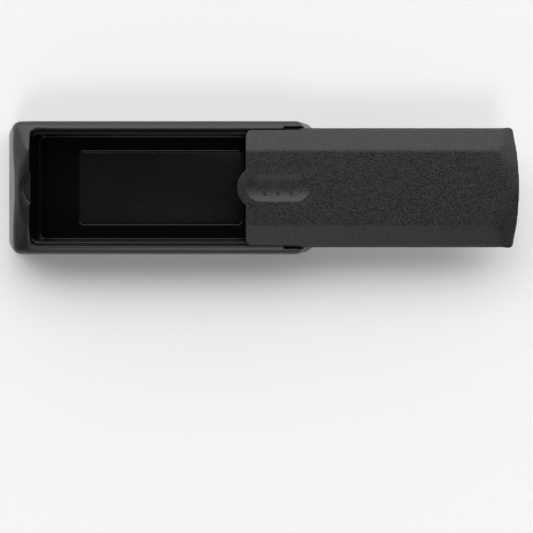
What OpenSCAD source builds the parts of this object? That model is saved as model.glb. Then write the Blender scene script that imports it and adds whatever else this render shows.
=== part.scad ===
// Magnetic key box: a double-walled tray with a sliding lid, and two magnets under its floor.
// Millimetres. +Z is up, +X is the way the lid slides out, and the origin is the middle of the foot.

/* [Case] */
// Length of the case at its foot
case_l = 148; // [130:1:200]
// Width of the case at its foot
case_w = 62.8; // [58:0.2:90]
// Height of the lid's flat top above the foot
case_h = 30; // [29:0.5:40]
// How far each end wall leans in from the foot to the rim
end_lean = 7.4; // [5:0.2:9]
// How far each long wall leans in from the foot to the rim
side_lean = 0.9; // [0.4:0.1:1.6]
// Corner radius of the foot
foot_corner_r = 6.5; // [5:0.5:10]
// Height of the rounded rims above the foot
rim_h = 27.3; // [26.5:0.1:28]
// Radius of the rims' rounded shoulder
rim_r = 3.5; // [3:0.1:4]
// Radius of the edge along the sliding end, between its corners
end_edge_r = 0.8; // [0.5:0.1:1.2]
// How much higher the end rims are in the middle than at the corners
end_rise = 2.3; // [0.5:0.1:2.5]
// Thickness of the outer wall
skirt_t = 1.6; // [1.4:0.1:2.2]

/* [Crown] */
// Width of the flat strip along the top
plane_w = 33.2; // [26:0.2:38]
// Distance from the closed end's rim to the flat strip, on the middle line
plane_inset_left = 4.8; // [4:0.1:6]
// Distance from the sliding end's rim to the flat strip, on the middle line
plane_inset_right = 5.6; // [4:0.1:7]
// Bow of the flat strip's edge at the closed end
plane_bow_left = 3.9; // [2:0.1:6]
// Bow of the flat strip's edge at the sliding end
plane_bow_right = 5.2; // [3:0.1:7]
// Half width of the rounded crease round the flat strip
crease_w = 0.6; // [0.3:0.1:0.9]

/* [Tub] */
// Thickness of the inner walls
tub_t = 1.6; // [1.2:0.1:1.7]
// Thickness of the floor
floor_t = 1.6; // [1.2:0.1:2.4]
// Thickness of the deck that joins the inner and outer walls
deck_t = 1.6; // [1.2:0.1:2]
// Corner radius of the inside
tub_corner_r = 3; // [2:0.2:5]
// Thickness of the wall under the sliding end, at the ledge
end_wall_t = 3.5; // [2.5:0.1:5]
// Thickness of the ribs between the two walls
rib_t = 1.2; // [0.8:0.1:2]
// Distance between the ribs along the long walls
rib_pitch = 38; // [24:1:48]
// Distance between the two ribs at each end
end_rib_pitch = 24; // [12:1:40]
// How far the ribs stay above the foot
rib_lift = 3; // [1:0.5:8]

/* [Rails] */
// Width of the rim outside the lid, along the long walls
rim_band = 4; // [3.6:0.1:4.5]
// Length of the fixed land at the closed end
end_land = 8.95; // [8.5:0.05:12]
// Thickness of the lip over the groove
lip_t = 1.6; // [1.2:0.1:1.8]
// Height of the groove
groove_h = 1.7; // [1.5:0.1:2.2]
// How far the groove reaches under the lip
groove_d = 1; // [0.8:0.05:1.3]
// How far the ledge reaches inward from the lip's edge
ledge_w = 1.8; // [1.2:0.1:2.4]
// Length of the rails' open mouth at the sliding end
mouth_l = 9.3; // [8:0.1:12]
// How far the mouth is cut into the lip
mouth_d = 1.2; // [1.1:0.05:1.6]
// Drop of the step that takes the lid's end lip
step_drop = 2; // [1:0.1:3]
// Length of the moulding slots near the sliding end
slot_l = 4.3; // [3:0.1:6]
// Length of the moulding slots near the closed end
back_slot_l = 3.1; // [2:0.1:5]
// Distance of those slots from the lid's closed end
back_slot_x = 2.75; // [2:0.05:5]
// Depth of the notch that those slots leave in the lip
back_slot_d = 0.45; // [0.2:0.05:0.6]

/* [Lid] */
// How far the lid is drawn out: 0 is closed
lid_open = 97.5; // [0:0.5:105]
// Thickness of the lid
lid_t = 2; // [1.4:0.1:2.2]
// Thickness of the lid's end lip
lid_lip_t = 1.8; // [1.4:0.1:2.4]
// Distance from the sliding end's rim to the lid's end
end_reveal = 0.5; // [0.3:0.1:2]
// Bow of the lid's end
lid_bow = 1.7; // [0.8:0.1:2]
// Corner radius of the lid at its closed end
lid_corner_r = 2.8; // [1.5:0.1:4]
// Corner radius of the lid at its far end
lid_end_corner_r = 2; // [0.6:0.1:2.4]
// Side clearance between the lid and the lip
lid_gap = 0.2; // [0.15:0.05:0.3]
// Clearance above and below the lid's flange
flange_gap = 0.2; // [0.15:0.05:0.3]
// Side clearance between the flange and the groove
groove_gap = 0.3; // [0.2:0.05:0.4]
// Side clearance between the lid's flared end and the mouth
flare_gap = 0.35; // [0.3:0.05:0.6]
// Length of the flare's first slope
flare_l = 1.5; // [1:0.1:2.5]
// Radius of the tongue
tongue_r = 10; // [8:0.2:12]
// How far the tongue reaches past the lid's end
tongue_l = 3.85; // [2.5:0.05:4.2]
// Thickness of the tongue
tongue_t = 2.4; // [1.6:0.1:2.8]
// Radius of the round gate mark on the flat strip
gate_r = 1.35; // [0.8:0.05:2]
// Depth of the gate mark, and height of the nub in it
gate_d = 0.15; // [0.1:0.05:0.3]
// Distance from the lid's far end to the gate mark
gate_x = 7.7; // [6.8:0.1:12]
// Distance of the gate mark from the middle line
gate_y = -1.9; // [-4:0.1:4]

/* [Thumb dish] */
// Length of the dish
dish_l = 28.5; // [22:0.5:36]
// Width of the dish
dish_w = 12.4; // [9:0.2:15]
// Depth of the dish
dish_d = 1.35; // [0.8:0.05:1.6]
// Distance from the lid's closed end to the middle of the dish
dish_x = 14.6; // [13:0.2:22]
// Number of grip ribs
grip_n = 3; // [1:1:4]
// Distance between the grip ribs
grip_pitch = 6; // [4:0.2:7]
// Length of a grip rib
grip_l = 7.4; // [5:0.2:9]
// Radius of a grip rib
grip_r = 0.6; // [0.4:0.05:0.8]

/* [Magnets] */
// Length of a magnet
magnet_l = 42; // [30:0.5:43]
// Width of a magnet
magnet_w = 26; // [18:0.5:34]
// Height of a magnet
magnet_h = 5; // [3:0.5:6]
// Thickness of a magnet's steel backing plate
keeper_t = 1; // [0.6:0.1:1.5]
// How far a backing plate runs past its magnet at each end
keeper_margin = 4.9; // [4.8:0.05:5.4]
// Clearance round a magnet and its backing plate in the pocket
pocket_gap = 0.2; // [0.1:0.05:0.4]
// Thickness of the pockets' outer wall
pocket_t = 1.5; // [1:0.1:2]
// How far the pockets' outer wall stays above the foot
pocket_lift = 0.4; // [0.2:0.1:1]
// Thickness of the bar between the two pockets, which reaches down to the foot
bar_t = 4.7; // [2:0.1:6]
// Radius of the stakes that hold the backing plates
stake_r = 1.5; // [1:0.1:1.8]
// Radius of a stake's formed head
stake_head_r = 2.3; // [2:0.1:2.5]
// Height of a stake's formed head
stake_head_h = 1.2; // [0.6:0.1:1.6]
// Clearance round a stake in its backing plate
stake_gap = 0.15; // [0.1:0.05:0.3]

/* [Floor plate] */
// Length of the bare plate set in the floor
plate_l = 77; // [50:0.5:100]
// Width of the plate
plate_w = 34.4; // [20:0.2:44]
// Thickness of the plate
plate_t = 0.4; // [0.3:0.05:0.8]
// Corner radius of the plate
plate_corner_r = 2; // [1:0.5:4]
// Gap round the plate
plate_gap = 0.3; // [0.2:0.05:0.5]
// How far the plate's face lies below the floor
plate_sink = 0.1; // [0:0.05:0.3]

/* [Hidden] */
over = 1; // how far a cut runs past the face that it opens
skin = 0.01; // thickness of a slab that only gives a hull its edge

rim_x = case_l / 2 - end_lean;
rim_y = case_w / 2 - side_lean;
plane_y = plane_w / 2;
facet_slope = (case_h - rim_h) / (rim_y - rim_r / 2 - plane_y);

// The lid's window in the tray, and the levels of its rails
window_x = -(rim_x - end_land);
window_y = rim_y - rim_band;
groove_y = window_y + groove_d;
ledge_h = rim_h - lip_t - groove_h;
lid_end_x = rim_x - end_reveal;
mouth_x = rim_x - mouth_l;
mouth_y = window_y + mouth_d;
flare_x = mouth_x + slot_l;
flare_y = mouth_y - flare_gap;
step_x = lid_end_x - lid_bow - lid_lip_t - 2 * lid_gap;
step_h = ledge_h - step_drop;

// The inside and its floor
cavity_x0 = window_x;
cavity_x1 = step_x - end_wall_t;
cavity_y = window_y - ledge_w;
slot_y = cavity_y + tub_t + lid_gap;
under_h = magnet_h + keeper_t;
floor_h = under_h + floor_t;

// The lid's own edges when it is closed
lid_x0 = window_x + lid_gap;
lid_y = window_y - lid_gap;
flange_y = groove_y - groove_gap;
flange_z0 = ledge_h + flange_gap;
flange_z1 = ledge_h + groove_h - flange_gap;
slot_x0 = lid_x0 + back_slot_x;
slot_x1 = slot_x0 + back_slot_l;
tongue_x = lid_x0 - tongue_l + tongue_r;
tongue_h = case_h - tongue_t;
dish_mid_x = lid_x0 + dish_x;
dish_r = (pow(dish_w / 2, 2) + pow(dish_d, 2)) / (2 * dish_d);

// The magnets' pockets, one each side of the bar
pocket_x0 = bar_t / 2;
keeper_l = magnet_l + 2 * keeper_margin;
pocket_x1 = pocket_x0 + keeper_l + 2 * pocket_gap;
pocket_y = magnet_w / 2 + pocket_gap;
magnet_x = (pocket_x0 + pocket_x1) / 2;
stake_x = (magnet_l + keeper_margin) / 2;

// Radius of an arc from its half chord and its bow
function arc_r(half, bow) = (half * half + bow * bow) / (2 * bow);

// A rectangle from x0 to x1 and half_y to each side, with corners of radius r
module round_slab(x0, x1, half_y, r) {
    translate([x0 + r, -half_y]) square([x1 - x0 - 2 * r, 2 * half_y]);
    translate([x0, -half_y + r]) square([x1 - x0, 2 * half_y - 2 * r]);
    for (x = [x0 + r, x1 - r], y = [-half_y + r, half_y - r]) translate([x, y]) circle(r, $fn = 64);
}

// The flat strip's outline, less an inset all round: straight sides and bowed ends
module plane_outline(inset) {
    left = -rim_x + plane_inset_left + inset;
    right = rim_x - plane_inset_right - inset;
    half = plane_y - inset;
    left_r = arc_r(plane_y, plane_bow_left);
    right_r = arc_r(plane_y, plane_bow_right);
    intersection() {
        translate([left, -half]) square([right - left, 2 * half]);
        union() {
            translate([left + plane_bow_left, -half])
                square([right - plane_bow_right - left - plane_bow_left, 2 * half]);
            translate([left + left_r, 0]) circle(left_r, $fn = 180);
            translate([right - right_r, 0]) circle(right_r, $fn = 180);
        }
    }
}

// The closed box's outer form: leaning walls, rounded rims and the crown with its flat strip
module ingot() {
    hull() {
        linear_extrude(skin) round_slab(-case_l / 2, case_l / 2, case_w / 2, foot_corner_r);
        for (x = [-1, 1], y = [-1, 1])
            translate([x * (rim_x - rim_r), y * (rim_y - rim_r), rim_h - rim_r]) sphere(rim_r, $fn = 48);
        // the end rims, which rise from the corners to the middle
        for (share = [-2 / 3, -1 / 3, 0, 1 / 3, 2 / 3]) {
            rise = end_rise * (1 - share * share);
            translate([rim_r - rim_x, share * (rim_y - rim_r), rim_h - rim_r + rise]) sphere(rim_r, $fn = 48);
            translate([rim_x - end_edge_r, share * (rim_y - rim_r), rim_h - end_edge_r + rise])
                sphere(end_edge_r, $fn = 24);
        }
        // the rounded crease: thin slabs, each wider and lower than the one above, as shares of its half width
        for (slab = [[-1, 0], [0, 0.25], [1, 1], [2, 2.1]])
            translate([0, 0, case_h - skin - slab[1] * crease_w * facet_slope])
                linear_extrude(skin) plane_outline(-slab[0] * crease_w);
    }
}

// The same form one outer wall's thickness inside it, up to the shoulder
module ingot_core() {
    inner_r = rim_r - skirt_t;
    hull() {
        translate([0, 0, -over])
            linear_extrude(skin)
                round_slab(-case_l / 2 + skirt_t, case_l / 2 - skirt_t, case_w / 2 - skirt_t, foot_corner_r - skirt_t);
        for (x = [-1, 1], y = [-1, 1])
            translate([x * (rim_x - rim_r), y * (rim_y - rim_r), rim_h - rim_r]) sphere(inner_r, $fn = 32);
    }
}

// The lid's outline in plan, without its tongue: straight sides that flare at the mouth
module lid_outline() {
    end_r = arc_r(lid_y, lid_bow);
    corner_y = flare_y - lid_end_corner_r;
    corner_x = lid_end_x - end_r + sqrt(pow(end_r - lid_end_corner_r, 2) - pow(corner_y, 2));
    intersection() {
        union() {
            round_slab(lid_x0, lid_end_x, lid_y, lid_corner_r);
            polygon([[mouth_x, -lid_y], [mouth_x + flare_l, flare_gap - flare_y], [flare_x, -flare_y],
                [corner_x, -flare_y], [corner_x, -corner_y], [lid_end_x, -corner_y], [lid_end_x, corner_y],
                [corner_x, corner_y], [corner_x, flare_y], [flare_x, flare_y],
                [mouth_x + flare_l, flare_y - flare_gap], [mouth_x, lid_y]]);
            for (y = [-corner_y, corner_y]) translate([corner_x, y]) circle(lid_end_corner_r, $fn = 48);
        }
        translate([lid_end_x - end_r, 0]) circle(end_r, $fn = 360);
    }
}

module tongue_disc(grow) {
    translate([tongue_x, 0]) circle(tongue_r + grow, $fn = 96);
}

// Everything between the two walls and under the floor that stays solid
module inner_works() {
    difference() {
        union() {
            translate([0, 0, under_h])
                linear_extrude(case_h)
                    round_slab(cavity_x0 - tub_t, cavity_x1 + tub_t, cavity_y + tub_t, tub_corner_r + tub_t);
            translate([0, 0, pocket_lift])
                linear_extrude(under_h)
                    round_slab(-pocket_x1 - pocket_t, pocket_x1 + pocket_t, pocket_y + pocket_t, pocket_t);
            translate([-pocket_x0, -pocket_y - pocket_t, 0])
                cube([bar_t, 2 * (pocket_y + pocket_t), under_h]);
            for (x = [-rib_pitch : rib_pitch : rib_pitch])
                translate([x - rib_t / 2, -case_w / 2, rib_lift]) cube([rib_t, case_w, case_h]);
            for (y = [-end_rib_pitch / 2, end_rib_pitch / 2])
                translate([-case_l / 2, y - rib_t / 2, rib_lift]) cube([case_l, rib_t, case_h]);
        }
        for (x = [-pocket_x1, pocket_x0])
            translate([x, -pocket_y, -over]) cube([pocket_x1 - pocket_x0, 2 * pocket_y, under_h + over]);
    }
    for (x = [-magnet_x, magnet_x], end = [-stake_x, stake_x])
        translate([x + end, 0, magnet_h - stake_head_h]) {
            cylinder(h = stake_head_h, r = stake_head_r, $fn = 48);
            cylinder(h = under_h, r = stake_r, $fn = 48);
        }
}

// The room between the walls: its roof is high at the closed end and low under the step
module wall_room() {
    left = cavity_x0 - tub_t;
    right = step_x - tub_t;
    high = tongue_h - flange_gap - deck_t;
    intersection() {
        ingot_core();
        rotate([90, 0, 0])
            linear_extrude(case_w, center = true)
                polygon([[-case_l, -over], [case_l, -over], [case_l, step_h - deck_t], [right, step_h - deck_t],
                    [right, ledge_h - deck_t], [left, ledge_h - deck_t], [left, high], [-case_l, high]]);
    }
}

module tray() {
    color("#232526") {
        difference() {
            ingot();
            difference() {
                wall_room();
                inner_works();
            }
            // the inside, and the seat of the floor plate
            translate([0, 0, floor_h])
                linear_extrude(case_h) round_slab(cavity_x0, cavity_x1, cavity_y, tub_corner_r);
            translate([0, 0, floor_h - plate_sink - plate_t])
                linear_extrude(case_h)
                    round_slab(-plate_l / 2 - plate_gap, plate_l / 2 + plate_gap, plate_w / 2 + plate_gap,
                        plate_corner_r + plate_gap);
            // the ledge and groove, the window over them, and the open mouth
            translate([window_x, -groove_y, ledge_h]) cube([case_l, 2 * groove_y, groove_h]);
            translate([0, 0, ledge_h])
                linear_extrude(case_h) round_slab(window_x, case_l, window_y, lid_corner_r + lid_gap);
            translate([mouth_x, -mouth_y, ledge_h]) cube([case_l, 2 * mouth_y, case_h]);
            translate([step_x, -mouth_y, step_h]) cube([case_l, 2 * mouth_y, case_h]);
            translate([0, 0, tongue_h - flange_gap]) linear_extrude(case_h) tongue_disc(lid_gap);
            // the moulding slots through the ledge
            for (side = [0, 1]) mirror([0, side, 0]) {
                translate([mouth_x, slot_y, step_h - deck_t - over]) cube([slot_l, mouth_y - slot_y, case_h]);
                translate([slot_x0, slot_y, ledge_h - deck_t - over])
                    cube([back_slot_l, window_y + back_slot_d - slot_y, case_h]);
            }
        }
    }
}

module keeper(side) {
    color("#8b8e91")
        translate([side * magnet_x, 0, magnet_h])
            difference() {
                translate([-keeper_l / 2, -magnet_w / 2, 0]) cube([keeper_l, magnet_w, keeper_t]);
                for (x = [-stake_x, stake_x])
                    translate([x, 0, -over]) cylinder(h = keeper_t + 2 * over, r = stake_r + stake_gap, $fn = 48);
            }
}

module magnet(side) {
    color("#3c3b3a")
        translate([side * magnet_x - magnet_l / 2, -magnet_w / 2, 0]) cube([magnet_l, magnet_w, magnet_h]);
}

module floor_plate() {
    color("#1c1d1e")
        translate([0, 0, floor_h - plate_sink - plate_t])
            linear_extrude(plate_t) round_slab(-plate_l / 2, plate_l / 2, plate_w / 2, plate_corner_r);
}

// The cut of the thumb dish: a trough with round ends, grown by a wall for the boss under it
module dish(grow) {
    half = dish_l / 2 - dish_w / 2;
    translate([dish_mid_x, 0, case_h - dish_d + dish_r]) {
        rotate([0, 90, 0]) cylinder(h = 2 * half, r = dish_r + grow, center = true, $fn = 120);
        for (x = [-half, half]) translate([x, 0, 0]) sphere(dish_r + grow, $fn = 120);
    }
}

// The hollow under the lid, between its side walls and its end lip
module lid_hollow() {
    x0 = lid_x0 + lid_t;
    x1 = lid_end_x - lid_bow - lid_lip_t;
    half = lid_y - lid_t;
    side_h = case_h - lid_t - (half - plane_y) * facet_slope;
    difference() {
        hull() {
            translate([0, 0, step_h - over])
                linear_extrude(side_h + over - step_h) round_slab(x0, x1, half, lid_corner_r / 2);
            translate([0, 0, case_h - lid_t - skin])
                linear_extrude(skin)
                    intersection() {
                        plane_outline(lid_t / 2);
                        translate([x0 + lid_t / 2, -half]) square([x1 - x0 - lid_t, 2 * half]);
                    }
        }
        dish(lid_t);
    }
}

module lid() {
    color("#2b2d2e")
        translate([lid_open, 0, 0]) {
            difference() {
                union() {
                    intersection() {
                        ingot();
                        union() {
                            translate([0, 0, flange_z0]) linear_extrude(case_h) lid_outline();
                            translate([0, 0, tongue_h]) linear_extrude(case_h) tongue_disc(0);
                            translate([0, 0, step_h + groove_gap])
                                linear_extrude(case_h)
                                    intersection() {
                                        lid_outline();
                                        translate([lid_end_x - lid_bow - lid_lip_t, -case_w])
                                            square([case_l, 2 * case_w]);
                                    }
                        }
                    }
                    translate([slot_x1, -flange_y, flange_z0])
                        cube([flare_x - slot_x1, 2 * flange_y, flange_z1 - flange_z0]);
                }
                lid_hollow();
                dish(0);
                translate([lid_end_x - gate_x, gate_y, case_h - gate_d]) cylinder(h = over, r = gate_r, $fn = 48);
            }
            translate([lid_end_x - gate_x, gate_y, case_h - gate_d - lid_t / 2])
                cylinder(h = gate_d + lid_t / 2, r = gate_r / 4, $fn = 24);
            for (i = [0 : grip_n - 1])
                translate([dish_mid_x + (i - (grip_n - 1) / 2) * grip_pitch, 0, case_h - dish_d])
                    rotate([90, 0, 0]) cylinder(h = grip_l - 2 * grip_r, r = grip_r, center = true, $fn = 32);
        }
}

tray();
keeper(-1);  // keeper_left
keeper(1);  // keeper_right
magnet(-1);  // magnet_left
magnet(1);  // magnet_right
floor_plate();
lid();
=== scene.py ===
"""Looks of the magnetic key box: a black moulded tray with a sliding lid that is drawn out."""
import math

import bmesh
import bpy
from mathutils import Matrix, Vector


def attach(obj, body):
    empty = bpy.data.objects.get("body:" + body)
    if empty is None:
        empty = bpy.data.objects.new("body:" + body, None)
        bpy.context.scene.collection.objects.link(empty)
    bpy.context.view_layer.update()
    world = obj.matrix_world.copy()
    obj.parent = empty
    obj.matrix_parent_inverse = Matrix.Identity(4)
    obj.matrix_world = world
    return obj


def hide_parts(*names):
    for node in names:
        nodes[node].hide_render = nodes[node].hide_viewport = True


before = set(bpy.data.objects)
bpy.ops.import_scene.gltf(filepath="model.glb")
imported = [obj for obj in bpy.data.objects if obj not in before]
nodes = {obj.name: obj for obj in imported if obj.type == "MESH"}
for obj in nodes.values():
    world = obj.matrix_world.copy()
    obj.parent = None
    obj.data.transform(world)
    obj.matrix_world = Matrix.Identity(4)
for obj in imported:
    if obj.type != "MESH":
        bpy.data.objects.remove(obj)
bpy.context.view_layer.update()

# --- Tray ----------------------------------------------------------------------------------------
# One black moulding with an outer wall, an inner tub and the rails for the lid. Its outside comes from
# a finely blasted mould and is satin, and its inside from a polished core, so it is glossier. The
# inside also gets a darker colour than the outside of the same moulding: painted shade for the hollow.
# As on any moulding, no edge is quite sharp.

seat_x = -0.0513  # middle of the round seat for the lid's tongue
seat_r = 0.0102
strip_half = 0.0166  # half the width of the flat strip along the top


def applied(piece):
    """Takes the piece's modifiers into its mesh."""
    depsgraph = bpy.context.evaluated_depsgraph_get()
    mesh = bpy.data.meshes.new_from_object(piece.evaluated_get(depsgraph))
    piece.modifiers.clear()
    piece.data = mesh
    return mesh


def ramp(value, start, end):
    """0 before start, 1 past end, smooth between; start may lie above end."""
    t = max(0.0, min(1.0, (value - start) / (end - start)))
    return t * t * (3 - 2 * t)


def moulding(node, faces, softness):
    """The node's skin on a fine grid, its edges rounded, and softer where softness is above 0."""
    piece = bpy.data.objects.new(node + "_moulding", nodes[node].data.copy())
    bpy.context.scene.collection.objects.link(piece)
    welded = bmesh.new()
    welded.from_mesh(piece.data)
    bmesh.ops.remove_doubles(welded, verts=welded.verts, dist=2e-6)
    welded.to_mesh(piece.data)
    welded.free()
    grid = piece.modifiers.new("grid", "REMESH")
    grid.mode = "VOXEL"
    grid.voxel_size = 0.0003
    ease = piece.modifiers.new("ease", "SMOOTH")
    ease.factor = 0.5
    ease.iterations = 3
    mesh = applied(piece)
    soft = piece.vertex_groups.new(name="soft")
    for vert in mesh.vertices:
        share = softness(*vert.co)
        if share > 0.01:
            soft.add([vert.index], share, "REPLACE")
    round_off = piece.modifiers.new("round_off", "SMOOTH")
    round_off.vertex_group = "soft"
    round_off.factor = 0.5
    round_off.iterations = 80
    fewer = piece.modifiers.new("fewer", "DECIMATE")
    fewer.ratio = min(1, faces / (2 * len(mesh.polygons)))
    mesh = applied(piece)
    mesh.name = piece.name
    mesh.polygons.foreach_set("use_smooth", [True] * len(mesh.polygons))
    mesh.materials.clear()
    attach(piece, "lid" if node == "lid" else "tray")
    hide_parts(node)
    return piece


def moulded(name, colour, rough, grain_size, grain_height, spread=0.05, specular=0.5, speckle=0.0):
    """Black stock, a little uneven in shade and gloss, with the grain of its mould."""
    mat = bpy.data.materials.new(name)
    mat.use_nodes = True
    tree = mat.node_tree
    link = tree.links.new
    bsdf = tree.nodes["Principled BSDF"]
    bsdf.inputs["Specular IOR Level"].default_value = specular
    place = tree.nodes.new("ShaderNodeTexCoord").outputs["Object"]

    cloud = tree.nodes.new("ShaderNodeTexNoise")
    cloud.inputs["Scale"].default_value = 60
    cloud.inputs["Detail"].default_value = 3
    link(place, cloud.inputs["Vector"])
    fine = tree.nodes.new("ShaderNodeTexNoise")
    fine.name = "grain"
    fine.inputs["Scale"].default_value = 1 / grain_size
    fine.inputs["Detail"].default_value = 2
    fine.inputs["Roughness"].default_value = 0.6
    link(place, fine.inputs["Vector"])

    shade = tree.nodes.new("ShaderNodeMix")
    shade.data_type = "RGBA"
    shade.inputs["A"].default_value = (*[c * 0.86 for c in colour], 1)
    shade.inputs["B"].default_value = (*[c * 1.16 for c in colour], 1)
    link(cloud.outputs["Fac"], shade.inputs["Factor"])
    pits = tree.nodes.new("ShaderNodeMapRange")
    pits.inputs["From Min"].default_value = 0.42
    pits.inputs["From Max"].default_value = 0.58
    pits.inputs["To Min"].default_value = 1 - speckle
    pits.inputs["To Max"].default_value = 1 + speckle
    link(fine.outputs["Fac"], pits.inputs["Value"])
    tint = tree.nodes.new("ShaderNodeVectorMath")
    tint.operation = "SCALE"
    link(shade.outputs["Result"], tint.inputs[0])
    link(pits.outputs["Result"], tint.inputs["Scale"])
    link(tint.outputs["Vector"], bsdf.inputs["Base Color"])

    gloss = tree.nodes.new("ShaderNodeMapRange")
    gloss.inputs["From Min"].default_value = 0.3
    gloss.inputs["From Max"].default_value = 0.7
    gloss.inputs["To Min"].default_value = rough - spread
    gloss.inputs["To Max"].default_value = rough + spread
    link(fine.outputs["Fac"], gloss.inputs["Value"])
    link(gloss.outputs["Result"], bsdf.inputs["Roughness"])

    bump = tree.nodes.new("ShaderNodeBump")
    bump.inputs["Strength"].default_value = 1
    bump.inputs["Distance"].default_value = grain_height
    link(fine.outputs["Fac"], bump.inputs["Height"])
    link(bump.outputs["Normal"], bsdf.inputs["Normal"])
    return mat


def land_softness(x, y, z):
    """The closed end's crown and shoulder are pillowy; the window's edge and the seat stay crisp."""
    off_seat = math.hypot(x - seat_x, y) - seat_r
    return ramp(x, -0.0586, -0.0598) * ramp(z, 0.016, 0.02) * ramp(off_seat, 0.0004, 0.0012)


tray = moulding("tray", 170000, land_softness)
corner_drop = 0.0012  # how far the closed end's crown falls to the corners
middle_rise = 0.0001
wall_draw = 0.00137  # how far the closed end's wall is drawn in, in the middle of its rim
draw_half = 0.024
for vert in tray.data.vertices:
    x, y, z = vert.co
    if x < -0.0578:
        # the crown falls away to the corners past the flat strip's bowed end
        strip_end = -0.0618 + 0.0039 * min(1, (y / strip_half) ** 2)
        fall = corner_drop * ramp(abs(y), -0.004, draw_half) - middle_rise
        vert.co.z -= fall * ramp(x, strip_end, -0.0648) * ramp(z, 0.018, 0.026)
        if abs(y) < draw_half:  # outside the seat only, so that the tongue stays free
            share = math.cos(math.pi * y / (2 * draw_half)) ** 2
            vert.co.x += wall_draw * share * ramp(x, -0.0617, -0.0652) * min(1, z / 0.024)
tray.data.materials.append(moulded(
    "tray_satin", (0.008, 0.0085, 0.0095), rough=0.33, grain_size=0.0006, grain_height=0.00004,
    speckle=0.4))
# painted shade: the tub's inside gets a darker base colour and a lower specular level than the same
# plastic outside
tray.data.materials.append(moulded(
    "tray_polish_painted_shade", (0.0025, 0.0026, 0.0028), rough=0.15, grain_size=0.0009, grain_height=0.000005,
    spread=0.02, specular=0.25))
ledge_z = 0.0237
# the darker material goes on the hollows that lie in shadow, as painted shade
for face in tray.data.polygons:  # the tub below its ledge, and the drop under the land
    x, y, z = face.center
    tub = -0.0574 < x < 0.0615 and abs(y) < 0.0249 and 0.0058 < z < ledge_z
    drop = -0.0577 < x < -0.057 and abs(y) < 0.0264 and 0.0072 < z < 0.0293
    face.material_index = int(tub or drop)

# --- Magnets and backing plates --------------------------------------------------------------------
# Two flat ceramic magnets, pressed and ground, each with a zinc plated sheet-steel plate behind it that
# is held by two formed stakes of the tray.


def eased(node, width, mat):
    """The node's shape with its edges broken by the width."""
    piece = bpy.data.objects.new(node + "_eased", nodes[node].data.copy())
    bpy.context.scene.collection.objects.link(piece)
    welded = bmesh.new()
    welded.from_mesh(piece.data)
    bmesh.ops.remove_doubles(welded, verts=welded.verts, dist=2e-6)
    bmesh.ops.dissolve_limit(welded, angle_limit=0.01, verts=welded.verts, edges=welded.edges)
    welded.to_mesh(piece.data)
    welded.free()
    piece.data.polygons.foreach_set("use_smooth", [True] * len(piece.data.polygons))
    broken = piece.modifiers.new("broken", "BEVEL")
    broken.width = width
    broken.segments = 3
    broken.limit_method = "ANGLE"
    broken.angle_limit = math.radians(50)
    broken.harden_normals = True
    mesh = applied(piece)
    mesh.name = piece.name
    mesh.materials.clear()
    mesh.materials.append(mat)
    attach(piece, "tray")
    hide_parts(node)


ferrite = moulded(
    "ground_ferrite", (0.05, 0.049, 0.047), rough=0.55, grain_size=0.0004, grain_height=0.00003,
    speckle=0.5)
zinc = moulded("zinc_plate", (0.42, 0.43, 0.44), rough=0.36, grain_size=0.0008, grain_height=0.00002)
zinc.node_tree.nodes["Principled BSDF"].inputs["Metallic"].default_value = 1
for side in ("left", "right"):
    eased("magnet_" + side, width=0.0004, mat=ferrite)
    eased("keeper_" + side, width=0.00012, mat=zinc)

# --- Floor plate -----------------------------------------------------------------------------------
# A thin bare plate of smooth black plastic, cut from sheet and let into the tray's floor with a small
# gap all round.

plate_film = moulded(
    "plate_film", (0.0065, 0.0067, 0.007), rough=0.24, grain_size=0.0006, grain_height=0.00001,
    specular=0.4, speckle=0.06)
eased("floor_plate", width=0.00012, mat=plate_film)

# --- Lid -------------------------------------------------------------------------------------------
# One black moulding from a mould with a coarser spark-eroded grain, which reads as a fine speckle. Its
# flanges run in the tray's grooves, and it is drawn out along them.

lid_drawn = 0.0975  # how far the lid is drawn out


def lid_softness(x, y, z):
    """The crown runs out softly round the flat strip's far end; the two far corners are rounded."""
    x -= lid_drawn
    crown = (ramp(x, 0.053, 0.056) * ramp(x, 0.0655, 0.0645)
             * ramp(abs(y), 0.0262, 0.0252) * ramp(z, 0.0262, 0.0266))
    corner = ramp(x, 0.0622, 0.0634) * ramp(abs(y), 0.0245, 0.0255) * 0.5
    return max(crown, corner)


lid = moulding("lid", 130000, lid_softness)
tongue_ease = 0.00018  # how far the tongue's lower edge is drawn in
end_drop = 0.0009  # how far the far end's crown falls to the corners
for vert in lid.data.vertices:
    x, y, z = vert.co
    # the round tongue's lower edge is eased, to clear its seat
    from_middle = math.hypot(x - lid_drawn - seat_x, y)
    if x < lid_drawn - 0.0565 and from_middle > 0.0092:
        inward = tongue_ease * ramp(z, 0.029, 0.0283) / from_middle
        vert.co.x -= inward * (x - lid_drawn - seat_x)
        vert.co.y -= inward * y
    # the crown falls away to the corners at this end too
    strip_end = lid_drawn + 0.061 - 0.0052 * min(1, (y / strip_half) ** 2)
    fall = end_drop * ramp(abs(y), -0.004, 0.024)
    vert.co.z -= fall * ramp(x, strip_end, lid_drawn + 0.066) * ramp(z, 0.024, 0.027)
lid.data.materials.append(moulded(
    "lid_grain", (0.0098, 0.01, 0.0099), rough=0.42, grain_size=0.00062, grain_height=0.00015,
    spread=0.07, speckle=0.9))

# --- Studio ----------------------------------------------------------------------------------------
# A plain pale floor, three soft lights side by side at the top of the picture, a weaker one below it,
# and a pale surround that is darker overhead and towards the bottom of the picture.

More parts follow.
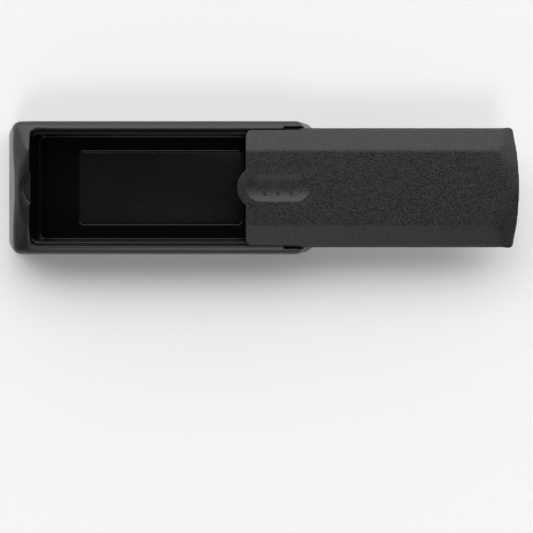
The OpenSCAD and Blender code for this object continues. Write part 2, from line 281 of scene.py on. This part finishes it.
floor = bpy.data.objects.new("floor", bpy.data.meshes.new("floor"))
bpy.context.scene.collection.objects.link(floor)
half = 4.0  # half the width of the floor
floor_corners = [(-half, -half, 0), (half, -half, 0), (half, half, 0), (-half, half, 0)]
floor.data.from_pydata(floor_corners, [], [(0, 1, 2, 3)])
floor_mat = bpy.data.materials.new("pale_floor")
floor_mat.use_nodes = True
floor_bsdf = floor_mat.node_tree.nodes["Principled BSDF"]
floor_bsdf.inputs["Base Color"].default_value = (0.94, 0.94, 0.935, 1)
floor_bsdf.inputs["Roughness"].default_value = 0.85
floor_bsdf.inputs["Specular IOR Level"].default_value = 0.2
floor.data.materials.append(floor_mat)

world = bpy.data.worlds.new("surround")
world.use_nodes = True
bpy.context.scene.world = world
wt = world.node_tree
direction = wt.nodes.new("ShaderNodeTexCoord").outputs["Generated"]
split = wt.nodes.new("ShaderNodeSeparateXYZ")
wt.links.new(direction, split.inputs[0])


def graded(along, start, end, first, last):
    """Goes smoothly from first to last between start and end of the direction's share along an axis."""
    node = wt.nodes.new("ShaderNodeMapRange")
    node.interpolation_type = "SMOOTHSTEP"
    node.inputs["From Min"].default_value = start
    node.inputs["From Max"].default_value = end
    node.inputs["To Min"].default_value = first
    node.inputs["To Max"].default_value = last
    wt.links.new(split.outputs[along], node.inputs["Value"])
    return node.outputs["Result"]


overhead = graded("Z", 0.15, 0.78, first=1.2, last=0.05)
sideways = graded("Y", -0.15, 0.4, first=0.6, last=1.5)
product = wt.nodes.new("ShaderNodeMath")
product.operation = "MULTIPLY"
wt.links.new(overhead, product.inputs[0])
wt.links.new(sideways, product.inputs[1])
wt.links.new(product.outputs["Value"], wt.nodes["Background"].inputs["Strength"])
wt.nodes["Background"].inputs["Color"].default_value = (0.98, 0.99, 1, 1)

for name, towards, strength, wide in (
    ("key", (0, 0.65, 0.76), 0.9, 40),
    ("key_left", (-0.5, 0.5, 0.72), 0.75, 36),
    ("key_right", (0.5, 0.5, 0.72), 0.65, 36),
    ("fill", (0, -0.6, 0.8), 0.52, 24),
):
    lamp = bpy.data.objects.new(name, bpy.data.lights.new(name, "SUN"))
    bpy.context.scene.collection.objects.link(lamp)
    lamp.data.energy = strength
    lamp.data.angle = math.radians(wide)
    lamp.rotation_euler = Vector(towards).to_track_quat("Z", "Y").to_euler()

# The camera hangs straight over the open box, 0.43 m above the foot, and the picture's frame is shifted
# down, because the photograph has the box in its upper half.
camera = bpy.data.objects.new("camera", bpy.data.cameras.new("camera"))
bpy.context.scene.collection.objects.link(camera)
camera.location = (0.0328, 0, 0.43)
camera.data.lens = 59.94
camera.data.sensor_width = 36
camera.data.shift_x = 0.0692
camera.data.shift_y = -0.1478
camera.data.clip_start = 0.01
bpy.context.scene.camera = camera
bpy.context.scene.view_settings.view_transform = "Standard"
